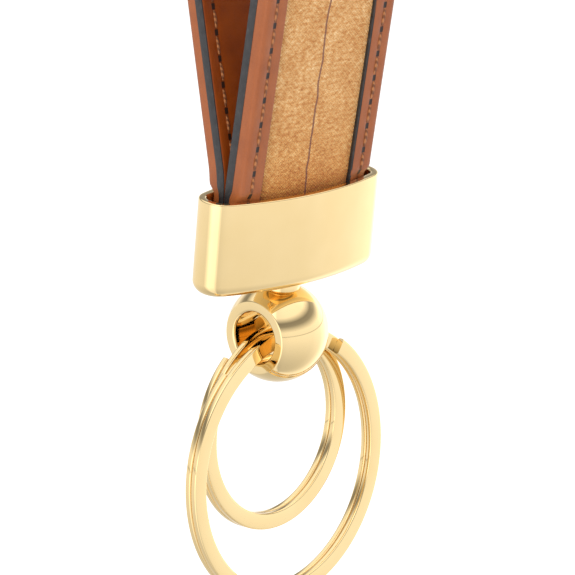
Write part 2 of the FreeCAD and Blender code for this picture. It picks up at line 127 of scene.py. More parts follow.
def grid_faces(rows, columns, close_rows=False, close_columns=False):
    """Quads between rows and columns of points; closing joins the last to the first."""
    faces = []
    for i in range(rows if close_rows else rows - 1):
        below = i * columns
        above = ((i + 1) % rows) * columns
        for j in range(columns if close_columns else columns - 1):
            k = (j + 1) % columns
            faces.append((below + j, below + k, above + k, above + j))
    return faces


def swept(name, sections, closed_section=True, closed_path=False, capped=True):
    """A skin over a list of equal-length sections."""
    rows, columns = len(sections), len(sections[0])
    verts = [point for section in sections for point in section]
    faces = grid_faces(rows, columns, closed_path, closed_section)
    if capped and closed_section and not closed_path:
        faces.append(tuple(range(columns))[::-1])
        faces.append(tuple((rows - 1) * columns + j for j in range(columns)))
    obj = mesh_object(name, verts, faces)
    fix_normals(obj)
    return obj


def fix_normals(obj):
    """Turn all faces outwards."""
    bm = bmesh.new()
    bm.from_mesh(obj.data)
    bmesh.ops.recalc_face_normals(bm, faces=bm.faces)
    bm.to_mesh(obj.data)
    bm.free()


def sharp_by_angle(obj, degrees=40.0):
    """Shade smooth, but keep edges sharper than an angle crisp."""
    obj.data.set_sharp_from_angle(angle=math.radians(degrees))


def set_uv(obj, coordinates):
    """One UV per vertex, in millimetres along and across the strap."""
    layer = obj.data.uv_layers.new(name="strap")
    loops = obj.data.loops
    flat = np.empty(len(loops) * 2)
    index = np.empty(len(loops), dtype=int)
    loops.foreach_get("vertex_index", index)
    flat[0::2] = coordinates[index, 0]
    flat[1::2] = coordinates[index, 1]
    layer.data.foreach_set("uv", flat)


def finish_piece(obj, body, material, slot, *nodes):
    """Material, body and the CAD nodes that the piece stands for; the slot argument is not used.
    """
    obj.data.materials.append(material)
    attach(obj, body)
    if nodes:
        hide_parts(*nodes)


# ---------------------------------------------------------------- the strap's line

def heading(angle):
    """Along the loop, as (y, z), for a heading measured from straight up towards the back."""
    return np.array([math.sin(angle), math.cos(angle)])


def outward(angle):
    """Away from the loop's inside, square to the heading."""
    return np.array([-math.cos(angle), math.sin(angle)])


class LoopLine:
    """The inside face of the loop: straight runs joined by tangent arcs, from end to end."""

    def __init__(self):
        into = -COLLAR_PITCH
        out_of = math.pi - COLLAR_PITCH
        down = math.pi + BACK_LEAN
        bends = [
            (-FRONT_BEND, into, FRONT_LEAN),
            (LOOP_RADIUS, FRONT_LEAN, down),
            (-BACK_BEND, down, out_of),
        ]
        turned = sum(r * (outward(b) - outward(a)) for r, a, b in bends)
        target = -outward(into) * STRAP_GAP
        runs = np.column_stack([heading(FRONT_LEAN), heading(down)])
        front_run, back_run = np.linalg.solve(runs, target - turned)
        self.parts = [("line", STRAP_DEPTH, into, into)]
        for (radius, start, end), run, lean in zip(
            bends, (front_run, back_run, STRAP_DEPTH), (FRONT_LEAN, down, out_of)
        ):
            self.parts.append(("arc", radius * (end - start), start, end))
            self.parts.append(("line", run, lean, lean))
        self.length = sum(part[1] for part in self.parts)
        self.front_rim = STRAP_DEPTH
        self.back_rim = self.length - STRAP_DEPTH
        self.start = np.zeros(2)
        top, angle = self.at(self.front_rim + abs(self.parts[1][1]) + front_run)
        centre = top - outward(angle) * LOOP_RADIUS
        self.start = np.array([0.0, -LOOP_RADIUS]) - centre
        self.rim_centre = self.at(self.front_rim)[0] - outward(into) * STRAP_GAP / 2

    def at(self, along):
        """Point (y, z) and heading at a distance along the line."""
        point = self.start.copy()
        last = len(self.parts) - 1
        for number, (kind, length, start, end) in enumerate(self.parts):
            step = along if along <= length or number == last else length
            if kind == "line":
                point = point + heading(start) * step
                angle = start
            else:
                angle = start + (end - start) * step / length
                radius = length / (end - start)
                point = point + radius * (outward(angle) - outward(start))
            along -= step
            if along <= 0:
                break
        return point, angle

    def place(self, along, x, offset):
        """A point at x across the strap, an offset outwards from the inside face."""
        point, angle = self.at(along)
        y, z = point + outward(angle) * offset
        return (x, y, z)


LINE = LoopLine()


def oval_half_depth(x, inset):
    """Half the collar's depth at x, to its outside face moved in by an inset."""
    end_x, side_y, side_radius = oval_centres()
    x = min(abs(x), COLLAR_HALF_LENGTH - inset)
    if x > end_x + COLLAR_END_RADIUS * end_x / math.hypot(end_x, side_y):
        radius = COLLAR_END_RADIUS - inset
        return math.sqrt(max(radius**2 - (x - end_x)**2, 0.0))
    return math.sqrt((side_radius - inset)**2 - x**2) - side_y


def oval_centres():
    """The end arcs' distance from the middle, the side arcs' and the side arcs' radius."""
    end_x = COLLAR_HALF_LENGTH - COLLAR_END_RADIUS
    side_radius = (end_x**2 + COLLAR_HALF_DEPTH**2 - COLLAR_END_RADIUS**2) / (
        2 * (COLLAR_HALF_DEPTH - COLLAR_END_RADIUS)
    )
    return end_x, side_radius - COLLAR_HALF_DEPTH, side_radius


END_TRIM = 0.6 * MM
PINCH_HEIGHT = 1.4 * MM
RIM_CLEARANCE = 0.06 * MM


def pinch(along, x, offset):
    """Squeeze the layers into the collar's oval, easing out just above the rim."""
    above = min(along - LINE.front_rim, LINE.back_rim - along)
    room = oval_half_depth(x, COLLAR_WALL) - RIM_CLEARANCE - STRAP_GAP / 2
    if above > PINCH_HEIGHT or room > BORDER_TOP:
        return offset
    share = max(above, 0.0) / PINCH_HEIGHT
    ease = share * share * (3 - 2 * share)
    scale = min(room / BORDER_TOP, 1.0)
    return offset * (scale + (1 - scale) * ease)


def stations(spacing):
    """Distances along the line for the sections of a sweep, evenly spaced."""
    start, end = END_TRIM, LINE.length - END_TRIM
    count = max(2, round((end - start) / spacing) + 1)
    return [start + (end - start) * i / (count - 1) for i in range(count)]


def strap_sweep(name, outline, spacing, shape=None):
    """Sweep a cross-section of (x, offset) points along the loop, with strap UVs in mm."""
    sections, uv = [], []
    around = np.cumsum([0.0] + [
        math.dist(a, b) for a, b in zip(outline, outline[1:])
    ])
    for along in stations(spacing):
        row = []
        for (x, offset), girth in zip(outline, around):
            if shape is not None:
                x, offset = shape(along, x, offset)
            row.append(LINE.place(along, x, pinch(along, x, offset)))
            uv.append((girth / MM + outline[0][0] / MM, along / MM))
        sections.append(row)
    obj = swept(name, sections)
    set_uv(obj, np.array(uv))
    return obj


def rounded_outline(corners, steps=5):
    """A closed outline of (x, offset, radius) corners, each rounded by its radius."""
    outline = []
    count = len(corners)
    for i, (x, y, radius) in enumerate(corners):
        here = Vector((x, y))
        before = (Vector(corners[i - 1][:2]) - here)
        after = (Vector(corners[(i + 1) % count][:2]) - here)
        if radius == 0:
            outline.append((x, y))
            continue
        a = here + before.normalized() * radius
        b = here + after.normalized() * radius
        for k in range(steps + 1):
            t = k / steps
            point = a * (1 - t)**2 + here * 2 * t * (1 - t) + b * t**2
            outline.append((point.x, point.y))
    return outline


def subdivided(outline, step):
    """The same closed outline with its long sides cut into pieces no longer than a step."""
    result = []
    for a, b in zip(outline, outline[1:] + outline[:1]):
        pieces = max(1, math.ceil(math.dist(a, b) / step))
        for k in range(pieces):
            t = k / pieces
            result.append((a[0] + (b[0] - a[0]) * t, a[1] + (b[1] - a[1]) * t))
    return result


# ---------------------------------------------------------------- strap pieces

SEAM_X = STRAP_HALF - SEAM_INSET
GROOVE_DEPTH = 0.11 * MM
GROOVE_HALF = 0.38 * MM


def stitch_phase(along):
    """0 at a needle hole, 1 halfway along a stitch."""
    return 0.5 - 0.5 * math.cos(2 * math.pi * along / STITCH_PITCH)


def seam_pull(along, x, depth=GROOVE_DEPTH):
    """How far the stitches pull the leather in beside a seam."""
    reach = math.exp(-((abs(x) - SEAM_X) / GROOVE_HALF)**2)
    return depth * reach * (1.15 - 0.55 * stitch_phase(along))


def shape_border(along, x, offset):
    """The border's slight waves and the pull of its stitches, on its upper face."""
    if offset > CANVAS_TOP + 0.2 * MM:
        plump = 0.05 * MM * math.sin(along / (7.1 * MM) + 3 * x / STRAP_HALF)
        offset += plump * 0.4 - seam_pull(along, x)
    return x, offset


def build_borders():
    """The folded leather edges on both sides of the canvas."""
    inner = STRAP_HALF - BORDER_WIDTH
    for side, sign in (("left", -1), ("right", 1)):
        corners = [
            (sign * inner, BORDER_TOP, 0.16 * MM),
            (sign * STRAP_HALF, BORDER_TOP, 0.62 * MM),
            (sign * STRAP_HALF, LINING, 0.12 * MM),
            (sign * (STRAP_HALF - 0.7 * MM), LINING, 0.0),
            (sign * (STRAP_HALF - 0.7 * MM), CANVAS_TOP - 0.05 * MM, 0.0),
            (sign * inner, CANVAS_TOP - 0.05 * MM, 0.0),
        ]
        outline = subdivided(rounded_outline(corners), 0.25 * MM)
        border = strap_sweep(f"leather_border_{side}", outline, 0.45 * MM, shape_border)
        sharp_by_angle(border, 50)
        finish_piece(border, "strap", leather("border_leather"), "border_leather",
                     f"border_{side}")
        build_cut_edge(side, sign, inner)


def build_cut_edge(side, sign, inner):
    """The dark paint on the border's cut edge beside the canvas."""
    low, high = CANVAS_TOP, BORDER_TOP - 0.02 * MM
    outline = [
        (sign * (inner + 0.06 * MM), high), (sign * (inner - 0.05 * MM), high - 0.14 * MM),
        (sign * (inner - 0.07 * MM), low), (sign * (inner + 0.06 * MM), low),
    ]
    paint = strap_sweep(f"cut_edge_paint_{side}", outline, 0.8 * MM)
    finish_piece(paint, "strap", edge_paint(), "border_leather")


def build_lining():
    """The leather on the loop's inside, dimpled beside its seams."""
    corners = [
        (-STRAP_HALF, 0.0, 0.35 * MM), (STRAP_HALF, 0.0, 0.35 * MM),
        (STRAP_HALF, LINING, 0.1 * MM), (-STRAP_HALF, LINING, 0.1 * MM),
    ]
    outline = subdivided(rounded_outline(corners), 0.4 * MM)

    def shape(along, x, offset):
        if offset < 0.05 * MM:
            offset += seam_pull(along, x, 0.08 * MM)
        return x, offset

    lining = strap_sweep("lining", outline, 0.6 * MM, shape)
    finish_piece(lining, "strap", leather("lining_leather"), "lining_leather",
                 "leather_lining")
    for side, sign in (("left", -1), ("right", 1)):
        build_edge_paint(side, sign)


def build_edge_paint(side, sign):
    """A thin domed coat of dark paint on the lining's edge."""
    low, high = 0.06 * MM, LINING + 0.03 * MM
    skin = 0.07 * MM
    outline = []
    for k in range(9):
        t = k / 8
        bulge = skin * math.sin(math.pi * min(max(t, 0.06), 0.94)) ** 0.5
        outline.append((sign * (STRAP_HALF + bulge), low + (high - low) * t))
    outline += [(sign * (STRAP_HALF - 0.15 * MM), high), (sign * (STRAP_HALF - 0.15 * MM), low)]
    paint = strap_sweep(f"edge_paint_{side}", outline, 0.6 * MM)
    finish_piece(paint, "strap", edge_paint(), "lining_leather")


def build_core():
    """The stiff board between lining and canvas."""
    half = STRAP_HALF - 0.72 * MM
    corners = [(-half, LINING), (half, LINING), (half, CORE), (-half, CORE)]
    core = strap_sweep("core_sheet", corners, 3 * MM)
    sharp_by_angle(core)
    finish_piece(core, "strap", leather("core"), "core", "core_board")


def build_canvas():
    """The canvas sheet, stretched over the core and slightly swollen between the borders."""
    half = CANVAS_HALF
    corners = [(-half, CANVAS_TOP), (half, CANVAS_TOP), (half, CORE), (-half, CORE)]
    outline = subdivided(corners, 0.8 * MM)

    def shape(along, x, offset):
        if offset > CORE + 0.1 * MM:
            swell = 0.16 * MM * (1 - (x / half)**2)
            wave = 0.04 * MM * math.sin(along / (5.3 * MM)) * math.sin(x / (2.1 * MM) + 1.0)
            offset += swell + wave
        return x, offset

    canvas = strap_sweep("canvas_face", outline, 0.8 * MM, shape)
    finish_piece(canvas, "strap", canvas_cloth(), "canvas", "canvas_panel")


def build_stitches():
    """Every seam as separate stitches that dive into their needle holes."""
    rng = random.Random(7)
    seams = (
        ("top_stitches", "top_thread", BORDER_TOP, 1, LINE.front_rim - 2 * MM),
        ("bobbin_stitches", "bobbin_thread", 0.0, -1, LINE.front_rim + 3.4 * MM),
    )
    for name, node, surface, out, start in seams:
        for side, sign in (("left", -1), ("right", 1)):
            build_seam(f"{name}_{side}", f"{node}_{side}", sign, surface, out, start, rng)


def build_seam(name, node, sign, surface, out, start, rng):
    """One side's stitches in one mesh: short arches that sink at both ends."""
    first = math.ceil(start / STITCH_PITCH)
    last = math.floor((LINE.length - start) / STITCH_PITCH) - 1
    verts, faces = [], []
    for number in range(first, last + 1):
        slant = rng.uniform(0.02, 0.07) * MM
        shift = rng.uniform(-0.06, 0.06) * MM
        rows = []
        for k in range(9):
            t = k / 8
            along = (number + 0.07 + 0.86 * t) * STITCH_PITCH
            arch = math.sin(math.pi * t) ** 0.6 if 0 < t < 1 else 0.0
            centre = surface + out * (-0.3 * MM + 0.24 * MM * arch)
            x = sign * SEAM_X + shift + slant * (t - 0.5) * 2
            radius = 0.17 * MM * (0.6 + 0.4 * arch)
            rows.append([
                LINE.place(
                    along,
                    x + 1.15 * radius * math.cos(turn),
                    pinch(along, x, centre + radius * math.sin(turn)),
                )
                for turn in (2 * math.pi * j / 8 for j in range(8))
            ])
        base = len(verts)
        verts += [point for row in rows for point in row]
        faces += [
            tuple(base + v for v in face)
            for face in grid_faces(len(rows), 8, False, True)
        ]
        last = base + (len(rows) - 1) * 8
        faces.append(tuple(base + j for j in range(8))[::-1])
        faces.append(tuple(last + j for j in range(8)))
    obj = mesh_object(name, verts, faces)
    fix_normals(obj)
    finish_piece(obj, "strap", thread_material(), "thread", node)


# ---------------------------------------------------------------- placing the metal

def turned(axis, angle):
    """A rotation matrix about an axis."""
    axis = np.asarray(axis, dtype=float)
    x, y, z = axis / np.linalg.norm(axis)
    c, s = math.cos(angle), math.sin(angle)
    return np.array([
        [c + x * x * (1 - c), x * y * (1 - c) - z * s, x * z * (1 - c) + y * s],
        [y * x * (1 - c) + z * s, c + y * y * (1 - c), y * z * (1 - c) - x * s],
        [z * x * (1 - c) - y * s, z * y * (1 - c) + x * s, c + z * z * (1 - c)],
    ])


BORE_AXIS = (math.cos(SWIVEL_TURN), math.sin(SWIVEL_TURN), 0.0)
TILT = turned(BORE_AXIS, COLLAR_PITCH)
RIM_CENTRE = np.array([0.0, *LINE.rim_centre])
BALL_CENTRE = RIM_CENTRE + TILT @ np.array([0.0, 0.0, -COLLAR_HEIGHT - BALL_DROP])
BALL_TURN = TILT @ turned((0, 0, 1), SWIVEL_TURN)
RING_TURN = turned((0, 0, 1), SWIVEL_TURN)


def placed(sections, rotation, origin):
    """Sections turned and then moved to an origin."""
    return [[tuple(rotation @ np.array(p) + origin) for p in row] for row in sections]


def arc_points(centre, radius, start, end, steps):
    """Points of an arc in the profile plane, angles in degrees."""
    result = []
    for k in range(steps + 1):
        angle = math.radians(start + (end - start) * k / steps)
        result.append((centre[0] + radius * math.cos(angle), centre[1] + radius * math.sin(angle)))
    return result


# ---------------------------------------------------------------- collar, neck, ball

def oval_point(turn, inset):
    """A point of the collar's plan moved in by an inset, for a turn of 0 to 1 round it."""
    end_x, side_y, side_radius = oval_centres()
    touch = math.atan2(side_y, end_x)
    end_arc = 2 * touch * COLLAR_END_RADIUS
    side_arc = (math.pi - 2 * touch) * side_radius
    arcs = [
        (end_x, 0.0, COLLAR_END_RADIUS, -touch, touch, end_arc),
        (0.0, -side_y, side_radius, touch, math.pi - touch, side_arc),
        (-end_x, 0.0, COLLAR_END_RADIUS, math.pi - touch, math.pi + touch, end_arc),
        (0.0, side_y, side_radius, math.pi + touch, 2 * math.pi - touch, side_arc),
    ]
    along = (turn % 1.0) * 2 * (end_arc + side_arc)
    for x, y, radius, start, end, length in arcs:
        if along <= length:
            angle = start + (end - start) * along / length
            return x + (radius - inset) * math.cos(angle), y + (radius - inset) * math.sin(angle)
        along -= length
    return arcs[0][0] + COLLAR_END_RADIUS - inset, 0.0


def build_collar():
    """The cup's wall as one profile of (inset, height) points, carried round the oval."""
    rim, wall, floor = RIM_ROUND, COLLAR_WALL, -COLLAR_HEIGHT + COLLAR_FLOOR
    bottom = -COLLAR_HEIGHT
    fillet = FLOOR_FILLET
    rows = arc_points((COLLAR_ROUND, bottom + COLLAR_ROUND), COLLAR_ROUND, 270, 180, 14)
    rows.append((0.0, -0.5 * COLLAR_HEIGHT))
    rows += arc_points((rim, -rim), rim, 180, 90, 6)
    rows += arc_points((wall - rim, -rim), rim, 90, 0, 6)
    rows += arc_points((wall + fillet, floor + fillet), fillet, 180, 270, 4)
    around = 360
    sections = [
        [(*oval_point(j / around, inset), height) for j in range(around)]
        for inset, height in rows
    ]
    sections.insert(0, close_in(sections[0]))
    sections.append(close_in(sections[-1]))
    sections = placed(sections, TILT, RIM_CENTRE)
    verts = [p for row in sections for p in row]
    faces = grid_faces(len(sections), around, False, True)
    faces.append(tuple(range(around)))
    last = (len(sections) - 1) * around
    faces.append(tuple(last + j for j in range(around))[::-1])
    collar = mesh_object("gold_collar", verts, faces)
    fix_normals(collar)
    drill_screw_holes(collar)
    finish_piece(collar, "strap", gold("collar_gold"), "gold", "collar_shell")


def drill_screw_holes(collar):
    """The two holes in the back wall through which the grub screws show."""
    for sign in (-1, 1):
        rim = [(SCREW_RADIUS * math.cos(2 * math.pi * j / 48),
                SCREW_RADIUS * math.sin(2 * math.pi * j / 48)) for j in range(48)]
        ends = [[(sign * SCREW_X + a, y, -SCREW_DROP + b) for a, b in rim]
                for y in (2.3 * MM, 6.0 * MM)]
        cutter = swept("cutter", placed(ends, TILT, RIM_CENTRE))
        cut = collar.modifiers.new("hole", "BOOLEAN")
        cut.operation = "DIFFERENCE"
        cut.solver = "EXACT"
        cut.object = cutter
        graph = bpy.context.evaluated_depsgraph_get()
        drilled = bpy.data.meshes.new_from_object(collar.evaluated_get(graph))
        collar.modifiers.clear()
        collar.data = drilled
        bpy.data.objects.remove(cutter)
    sharp_by_angle(collar, 35)


def close_in(row):
    """The same ring drawn in towards the middle, for a flat floor."""
    return [(x * 0.5, y * 0.3, z) for x, y, z in row]


def revolved(profile, axis_x, around):
    """Carry a profile of (along, radius) points round an axis: X if axis_x, else Z."""
    sections = []
    for along, radius in profile:
        row = []
        for j in range(around):
            turn = 2 * math.pi * j / around
            a, b = radius * math.cos(turn), radius * math.sin(turn)
            row.append((along, a, b) if axis_x else (a, b, along))
        sections.append(row)
    return sections


def ball_profile():
    """Half the ball's section as (along the bore, radius): bore, rounded flats and the sphere."""
    half, bore, edge, flat = BALL_HALF_WIDTH, BORE_RADIUS, BORE_ROUND, FLAT_ROUND
    reach = BALL_RADIUS - flat
    centre_x = half - flat
    centre_r = math.sqrt(reach**2 - centre_x**2)
    lean = math.degrees(math.atan2(centre_r, centre_x))
    side = arc_points((half - edge, bore + edge), edge, 270, 360, 8)
    side += arc_points((centre_x, centre_r), flat, 0, lean, 6)
    over = arc_points((0.0, 0.0), BALL_RADIUS, lean, 180 - lean, 64)[1:-1]
    mirrored = [(-x, r) for x, r in side[::-1]]
    return side + over + mirrored


def build_ball():
    """The cross-bored ball, flat on top where the neck stands."""
    top = math.sqrt(BALL_RADIUS**2 - NECK_RADIUS**2)
    sections = revolved(ball_profile(), True, 192)
    sections = [[(x, y, min(z, top)) for x, y, z in row] for row in sections]
    inside = revolved(
        [(-BALL_HALF_WIDTH * 0.9 + BALL_HALF_WIDTH * 1.8 * k / 10, BORE_RADIUS)
         for k in range(1, 10)], True, 192)
    ring = placed(sections + inside, BALL_TURN, BALL_CENTRE)
    ball = swept("swivel_ball", ring, closed_section=True, closed_path=True, capped=False)
    finish_piece(ball, "swivel", gold("ball_gold"), "gold", "ball_connector")
    build_neck(top)


def build_neck(foot):
    """The short round neck from the ball's flat top to just below the collar."""
    top, bevel = BALL_DROP - NECK_GAP, 0.1 * MM
    profile = [(foot - 0.05 * MM, NECK_RADIUS), (foot + bevel, NECK_RADIUS),
               (top - bevel, NECK_RADIUS), (top, NECK_RADIUS - bevel)]
    neck = swept("neck", placed(revolved(profile, False, 96), BALL_TURN, BALL_CENTRE))
    sharp_by_angle(neck, 50)
    finish_piece(neck, "swivel", gold("ball_gold"), "gold", "neck_spacer")


# ---------------------------------------------------------------- split rings

def ring_outline(outer):
    """The flat wire's outline as (radius, along the axis), with crowned faces."""
    half, bevel, inner = RING_AXIAL / 2, RING_BEVEL, outer - RING_RADIAL
    middle, reach = (outer + inner) / 2, RING_RADIAL / 2 - bevel
    face = []
    for k in range(9):
        t = 1 - k / 4
        face.append((middle + reach * t, half + RING_CROWN * (1 - t * t)))
    corner = []
    for k in range(1, 5):
        turn = math.pi / 2 * k / 5
        corner.append((bevel * math.cos(turn), bevel * math.sin(turn)))
    top_in = [(inner + bevel - s, half - bevel + c) for c, s in corner]
    top_out = [(outer - bevel + c, half - bevel + s) for c, s in corner]
    side_in = [(inner, half - bevel)]
    side_out = [(outer, half - bevel)]
    upper = side_out + top_out + face + top_in + side_in
    return upper + [(r, -d) for r, d in upper[::-1]]


def ring_section(outline, angle, middle):
    """The outline stood at an angle clockwise from the top, seen from the front."""
    return [(r * math.sin(angle), middle + d, r * math.cos(angle)) for r, d in outline]


def build_ring(name, node, body, outer, hang, side):
    """One flat wire in two coils; the crossing from one to the other lies in the bore."""
    drop = outer - RING_RADIAL + hang
    step = (RING_AXIAL + COIL_GAP) / 2
    crossing = FRONT_END + BACK_END
    sweep = 2 * math.pi - crossing
    outline = ring_outline(outer)
    sections = []
    coil_steps, cross_steps = 220, 48
    for k in range(coil_steps):
        angle = FRONT_END + sweep * k / coil_steps
        sections.append(ring_section(outline, angle, -step))
    for k in range(cross_steps):
        t = k / cross_steps
        middle = step * (2 * t * t * (3 - 2 * t) - 1)
        sections.append(ring_section(outline, -BACK_END + crossing * t, middle))
    for k in range(coil_steps + 1):
        angle = FRONT_END + sweep * k / coil_steps
        sections.append(ring_section(outline, angle, step))
    shifted = [[(x, y + side * RING_OFFSET, z - drop) for x, y, z in row] for row in sections]
    ring = swept(name, placed(shifted, RING_TURN, BALL_CENTRE))
    sharp_by_angle(ring, 50)
    finish_piece(ring, body, gold(f"{name}_gold"), "gold_ring", node)


# ---------------------------------------------------------------- materials

def new_material(name):
    """A node material with its nodes, links and shader."""
    material = bpy.data.materials.new(name)
    material.use_nodes = True
    nodes = material.node_tree.nodes
    return material, nodes, material.node_tree.links, nodes["Principled BSDF"]


def add(nodes, kind, **settings):
    """A node of a kind, with its settings."""
    node = nodes.new(kind)
    for key, value in settings.items():
        setattr(node, key, value)
    return node


def noise(nodes, links, vector, scale, detail=3.0, roughness=0.55):
    """Noise between 0 and 1 over a vector."""
    node = add(nodes, "ShaderNodeTexNoise")
    node.inputs["Scale"].default_value = scale
    node.inputs["Detail"].default_value = detail
    node.inputs["Roughness"].default_value = roughness
    links.new(vector, node.inputs["Vector"])
    return node.outputs["Fac"]


def ramp(nodes, links, value, stops):
    """A colour ramp over a value; stops are (position, colour)."""
    node = add(nodes, "ShaderNodeValToRGB")
    elements = node.color_ramp.elements
    while len(elements) < len(stops):
        elements.new(0.5)
    for element, (position, colour) in zip(elements, stops):
        element.position = position
        element.color = (*colour, 1.0)
    links.new(value, node.inputs["Fac"])
    return node.outputs["Color"]


def math_node(nodes, links, operation, *values):
    """A calculation with one to three values, each a number or a socket."""
    node = add(nodes, "ShaderNodeMath", operation=operation)
    for socket, value in zip(node.inputs, values):
        if isinstance(value, (int, float)):
            socket.default_value = value
        else:
            links.new(value, socket)
    return node.outputs[0]


def mix(nodes, links, share, a, b, blend="MIX"):
    """Mix two colours, each a colour or a socket."""
    node = add(nodes, "ShaderNodeMix", data_type="RGBA", blend_type=blend)
    for socket, value in ((node.inputs[0], share), (node.inputs[6], a), (node.inputs[7], b)):
        if isinstance(value, (int, float)):
            socket.default_value = value
        elif isinstance(value, tuple):
            socket.default_value = (*value, 1.0)
        else:
            links.new(value, socket)
    return node.outputs[2]


def bump(nodes, links, height, distance, strength=1.0, normal=None):
    """A bumped normal, laid over another one if it is given."""
    node = add(nodes, "ShaderNodeBump")
    node.inputs["Strength"].default_value = strength
    node.inputs["Distance"].default_value = distance
    links.new(height, node.inputs["Height"])
    if normal is not None:
        links.new(normal, node.inputs["Normal"])
    return node.outputs["Normal"]


def greys(*stops):
    """Stops of (position, brightness) as the grey colours of a ramp."""
    return [(position, (value,) * 3) for position, value in stops]


def srgb(r, g, b):
    """An 8-bit screen colour as the linear colour that a shader takes."""
    def linear(value):
        value /= 255
        return value / 12.92 if value <= 0.04045 else ((value + 0.055) / 1.055)**2.4
    return linear(r), linear(g), linear(b)


MATERIALS = {}


def once(build):
    """Make each named material one time only."""
    def lookup(*key):
        if (build, key) not in MATERIALS:
            MATERIALS[build, key] = build(*key)
        return MATERIALS[build, key]
    return lookup


GOLD_TINT = (srgb(242, 214, 158), srgb(245, 218, 164))


def polished(nodes, links, shader, place):
    """Mirror-like metal with the faintest waviness and fine wipe marks."""
    shader.inputs["Metallic"].default_value = 1.0
    rough = noise(nodes, links, place, 900.0, 4.0)
    links.new(ramp(nodes, links, rough, greys((0.2, 0.03), (0.8, 0.085))),
              shader.inputs["Roughness"])
    wave = noise(nodes, links, place, 260.0, 1.0)
    links.new(bump(nodes, links, wave, 0.00002, 0.3), shader.inputs["Normal"])


@once
def gold(name):
    """Polished pale gold plate."""
    material, nodes, links, shader = new_material(name)
    place = add(nodes, "ShaderNodeTexCoord").outputs["Object"]
    tint = noise(nodes, links, place, 180.0, 2.0)
    plate = ramp(nodes, links, tint, [(0.3, GOLD_TINT[0]), (0.7, GOLD_TINT[1])])
    links.new(plate, shader.inputs["Base Color"])
    polished(nodes, links, shader, place)
    return material


LEATHERS = {
    "border_leather": (srgb(143, 77, 37), srgb(149, 82, 41), srgb(135, 71, 33), 0.4),
    "lining_leather": (srgb(132, 58, 4), srgb(140, 64, 6), srgb(120, 50, 3), 0.55),
    "core": (srgb(92, 70, 52), srgb(104, 82, 62), srgb(80, 60, 44), 0.8),
}


def seam_hole_shade_marks(nodes, links, uv):
    """1 in the needle holes of a seam, where their shade is painted dark, and a fainter line
    between them.
    """
    place = add(nodes, "ShaderNodeSeparateXYZ")
    links.new(add(nodes, "ShaderNodeTexCoord").outputs["Object"], place.inputs[0])
    across = math_node(nodes, links, "ABSOLUTE", place.outputs["X"])
    beside = math_node(nodes, links, "ABSOLUTE",
                       math_node(nodes, links, "SUBTRACT", across, SEAM_X))
    split = add(nodes, "ShaderNodeSeparateXYZ")
    links.new(uv, split.inputs[0])
    to_hole = math_node(nodes, links, "PINGPONG", split.outputs["Y"], STITCH_PITCH / MM / 2)
    near = math_node(nodes, links, "LESS_THAN", to_hole, 0.34)
    hole = math_node(nodes, links, "MULTIPLY", near,
                     math_node(nodes, links, "LESS_THAN", beside, 0.24 * MM))
    line = math_node(nodes, links, "MULTIPLY",
                     math_node(nodes, links, "LESS_THAN", beside, 0.2 * MM), 0.4)
    return math_node(nodes, links, "MAXIMUM", hole, line)


@once
def leather(name):
    """Smooth leather: cloudy colour, a fine pebble grain and the seams' marks, with shade painted
    dark into the needle holes.
    """
    base, light, dark, rough = LEATHERS[name]
    material, nodes, links, shader = new_material(name)
    uv = add(nodes, "ShaderNodeUVMap", uv_map="strap").outputs["UV"]
    cloud = ramp(nodes, links, noise(nodes, links, uv, 0.3, 4.0), [
        (0.3, dark), (0.5, base), (0.72, light),
    ])
    pores = add(nodes, "ShaderNodeTexVoronoi", feature="DISTANCE_TO_EDGE")
    pores.inputs["Scale"].default_value = 3.6
    links.new(uv, pores.inputs["Vector"])
    cell = ramp(nodes, links, pores.outputs["Distance"], greys((0.0, 0.82), (0.12, 1.0)))
    colour = mix(nodes, links, 0.7, cloud, cell, "MULTIPLY")
    # Painted shade: the needle holes, and more faintly the seam line between them, are painted
    # near-black.
    colour = mix(nodes, links, seam_hole_shade_marks(nodes, links, uv), colour, srgb(38, 20, 12))
    links.new(colour, shader.inputs["Base Color"])
    shine = ramp(nodes, links, noise(nodes, links, uv, 1.2, 3.0),
                 greys((0.3, rough - 0.07), (0.7, rough + 0.1)))
    links.new(shine, shader.inputs["Roughness"])
    shader.inputs["Specular IOR Level"].default_value = 0.42
    grain = bump(nodes, links, cell, 0.00003, 0.45)
    fine = bump(nodes, links, noise(nodes, links, uv, 9.0, 3.0), 0.00003, 0.35, grain)
    links.new(fine, shader.inputs["Normal"])
    return material


@once
def edge_paint():
    """Near-black edge paint, satin and slightly uneven."""
    material, nodes, links, shader = new_material("edge_paint")
    uv = add(nodes, "ShaderNodeUVMap", uv_map="strap").outputs["UV"]
    patch = noise(nodes, links, uv, 1.1, 4.0)
    links.new(ramp(nodes, links, patch, [
        (0.3, srgb(28, 27, 28)), (0.6, srgb(44, 43, 44)), (0.8, srgb(66, 64, 64)),
    ]), shader.inputs["Base Color"])
    links.new(ramp(nodes, links, patch, greys((0.3, 0.34), (0.7, 0.55))),
              shader.inputs["Roughness"])
    links.new(bump(nodes, links, noise(nodes, links, uv, 3.0, 3.0), 0.00008, 0.5),
              shader.inputs["Normal"])
    return material


@once
def thread_material():
    """Waxed brown thread with a twist."""
    material, nodes, links, shader = new_material("waxed_thread")
    place = add(nodes, "ShaderNodeTexCoord").outputs["Object"]
    twist = add(nodes, "ShaderNodeTexWave", bands_direction="DIAGONAL")
    twist.inputs["Scale"].default_value = 900.0
    links.new(place, twist.inputs["Vector"])
    links.new(ramp(nodes, links, twist.outputs["Fac"], [
        (0.2, srgb(104, 58, 28)), (0.8, srgb(156, 98, 54)),
    ]), shader.inputs["Base Color"])
    shader.inputs["Roughness"].default_value = 0.6
    links.new(bump(nodes, links, twist.outputs["Fac"], 0.00004, 0.6), shader.inputs["Normal"])
    return material


